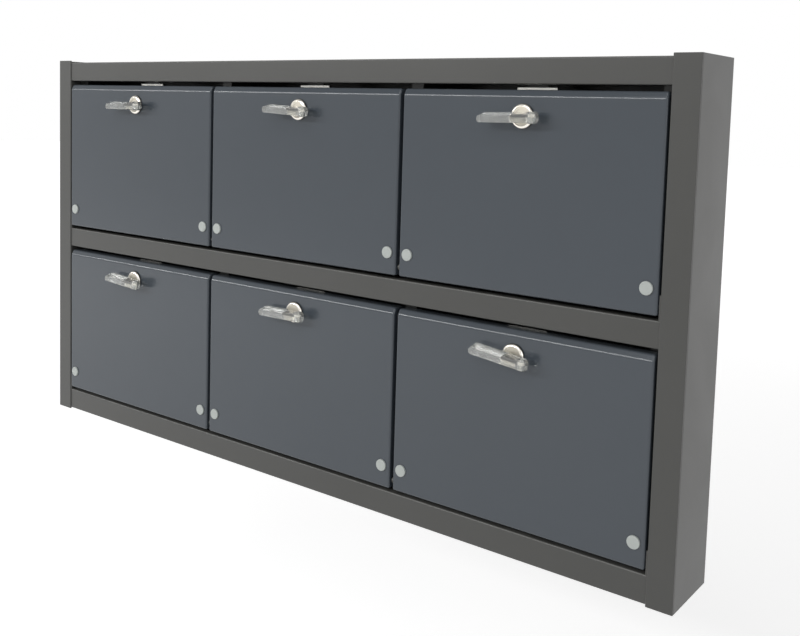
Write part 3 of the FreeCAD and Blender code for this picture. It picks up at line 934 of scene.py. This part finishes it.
@dataclass(frozen=True)
class Studio:
    """Pale floor, white surroundings, soft lamps and the camera."""

    floor_drop: float = 0.30
    floor_half: float = 14.0
    floor_tone: float = 0.86
    floor_rough: float = 0.9
    floor_specular: float = 0.1
    glow: Span = Span(0.60, 0.86)
    glow_reach: Span = Span(0.8, 4.5)
    ambient: Span = Span(0.50, 1.0)
    sky: Span = Span(1.0, 0.45)
    sky_rise: Span = Span(0.25, 0.60)
    view: Viewpoint = Viewpoint()
    lamps: Sequence[AreaLamp] = (
        AreaLamp("strip_lamp", place=(-2.15, -2.40, 1.10), aim=(-2.15, -0.05, 0.25), width=3.3, height=0.20,
                 power=50.0),
        AreaLamp("front_lamp", place=(0.35, -1.50, 1.40), aim=(0.0, -0.05, 0.0), width=1.6, height=1.2,
                 power=11.0),
        AreaLamp("right_lamp", place=(1.9, -0.5, 0.7), aim=(0.2, -0.05, 0.0), width=1.0, height=1.4,
                 power=5.0),
    )

    def build(self) -> None:
        """Set the stage round the locker."""
        self.build_floor()
        self.build_world()
        for lamp in self.lamps:
            lamp.build()
        self.view.build()
        bpy.context.scene.view_settings.view_transform = "Standard"

    def build_floor(self) -> None:
        """Lay a wide pale floor below the locker, which glows where it is seen."""
        level = CAD_BOX[0].z - self.floor_drop
        half = self.floor_half
        corners = [(-half, -half, level), (half, -half, level), (half, half, level), (-half, half, level)]
        mesh = bpy.data.meshes.new("floor")
        mesh.from_pydata(corners, [], [(0, 1, 2, 3)])
        floor = bpy.data.objects.new("floor", mesh)
        bpy.context.scene.collection.objects.link(floor)
        material, wiring, shader = new_material("pale_floor")
        shader.inputs["Base Color"].default_value = opaque((self.floor_tone,) * 3)
        shader.inputs["Roughness"].default_value = self.floor_rough
        shader.inputs["Specular IOR Level"].default_value = self.floor_specular
        shader.inputs["Emission Color"].default_value = opaque(WHITE)
        reach = wiring.node("ShaderNodeVectorMath", operation="LENGTH")
        wiring.join(wiring.spot(), reach.inputs[0])
        glow = wiring.ramp(reach.outputs["Value"], self.glow_reach, self.glow)
        shown = wiring.math("MULTIPLY", self.seen_directly(wiring), glow)
        wiring.join(shown, shader.inputs["Emission Strength"])
        mesh.materials.append(material)

    @staticmethod
    def seen_directly(wiring: Wiring) -> bpy.types.NodeSocket:
        """Tell rays that show a surface from rays that only light it.

        Args:
            wiring: Helper for the tree that needs the answer.

        Returns:
            A socket that is 1 for camera, mirror and see-through rays.
        """
        path = wiring.node("ShaderNodeLightPath")
        either = wiring.math("MAXIMUM", path.outputs["Is Camera Ray"], path.outputs["Is Glossy Ray"])
        return wiring.math("MAXIMUM", either, path.outputs["Is Transmission Ray"])

    def build_world(self) -> None:
        """Surround the locker with white that is softer where it only lights, and dimmer overhead."""
        world = bpy.data.worlds.new("white_studio")
        bpy.context.scene.world = world
        world.use_nodes = True
        wiring = Wiring(world.node_tree)
        back = world.node_tree.nodes["Background"]
        back.inputs["Color"].default_value = opaque(WHITE)
        level = wiring.ramp(self.seen_directly(wiring), FULL, self.ambient)
        way = wiring.axes(wiring.node("ShaderNodeTexCoord").outputs["Generated"])
        sky = wiring.ramp(way["Z"], self.sky_rise, self.sky)
        wiring.join(wiring.math("MULTIPLY", level, sky), back.inputs["Strength"])


def main() -> None:
    """Build the locker's looks and its studio."""
    logging.basicConfig(level=logging.INFO)
    finishes = Finishes(GroupShelf())
    Carcass(finishes).build()
    for number in range(1, DOOR_COUNT + 1):
        Door(number, finishes).build()
    Studio().build()


if __name__ == "__main__":
    main()
